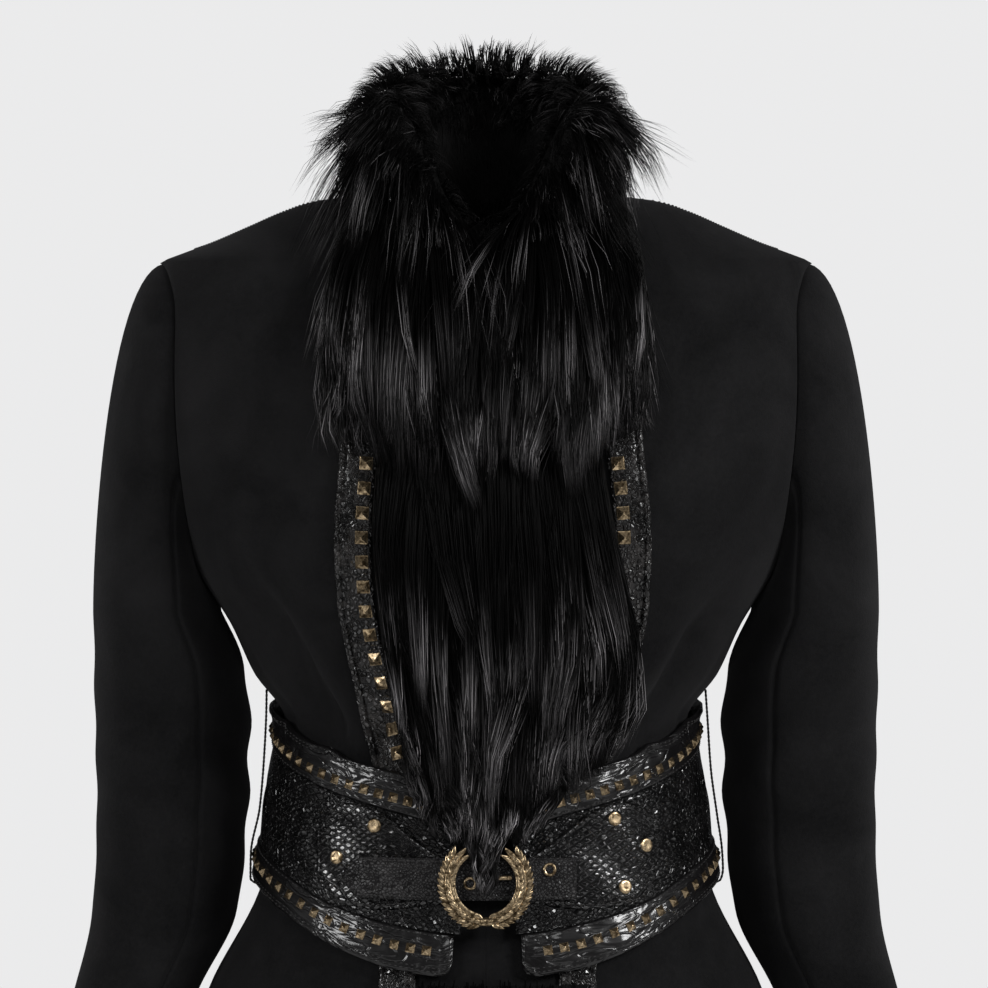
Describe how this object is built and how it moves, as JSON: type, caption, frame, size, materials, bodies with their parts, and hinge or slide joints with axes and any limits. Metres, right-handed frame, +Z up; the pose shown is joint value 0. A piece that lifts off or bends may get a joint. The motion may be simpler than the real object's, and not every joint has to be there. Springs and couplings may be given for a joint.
{
  "type": "shearling jacket",
  "caption": "Black suede shearling jacket as worn, fur collar and front strips, studded trim, wide leather and python-pattern belt with a round wreath buckle.",
  "frame": {"origin": "in the neck opening, midway between the two side neck points of the shoulder seams", "axes": "+Z up, +X towards the wearer's left, the front faces -Y"},
  "size_m": [0.592, 0.3133, 0.741],
  "materials": {
    "suede": "matt black suede with a short nap",
    "fur": "long glossy black fur",
    "python_skin": "black leather with a glossy python pattern",
    "smooth_leather": "smooth black leather, semi-gloss",
    "antique_brass": "antique brass",
    "thread": "black thread"
  },
  "bodies": {
    "root": {"back_left": "suede", "back_right": "suede", "belt_bottom_band": "smooth_leather", "belt_loop_left": "thread", "belt_loop_right": "thread", "belt_middle_band": "python_skin", "belt_strap": "python_skin", "belt_top_band": "smooth_leather", "belt_yoke_left": "python_skin", "belt_yoke_right": "python_skin", "buckle_prong": "antique_brass", "buckle_ring": "antique_brass", "eyelet_ring": "antique_brass", "eyelet_strap": "antique_brass", "front_left": "suede", "front_right": "suede", "fur_collar": "fur", "fur_lower_left": "fur", "fur_lower_right": "fur", "fur_skirt_left": "fur", "fur_skirt_right": "fur", "fur_upper_left": "fur", "fur_upper_right": "fur", "rivet_left_lower": "antique_brass", "rivet_left_outer": "antique_brass", "rivet_left_upper": "antique_brass", "rivet_right_outer": "antique_brass", "rivet_right_upper": "antique_brass", "sleeve_top_left": "suede", "sleeve_top_right": "suede", "sleeve_under_left": "suede", "sleeve_under_right": "suede", "trim_left": "python_skin", "trim_right": "python_skin"}
  },
  "joints": []
}
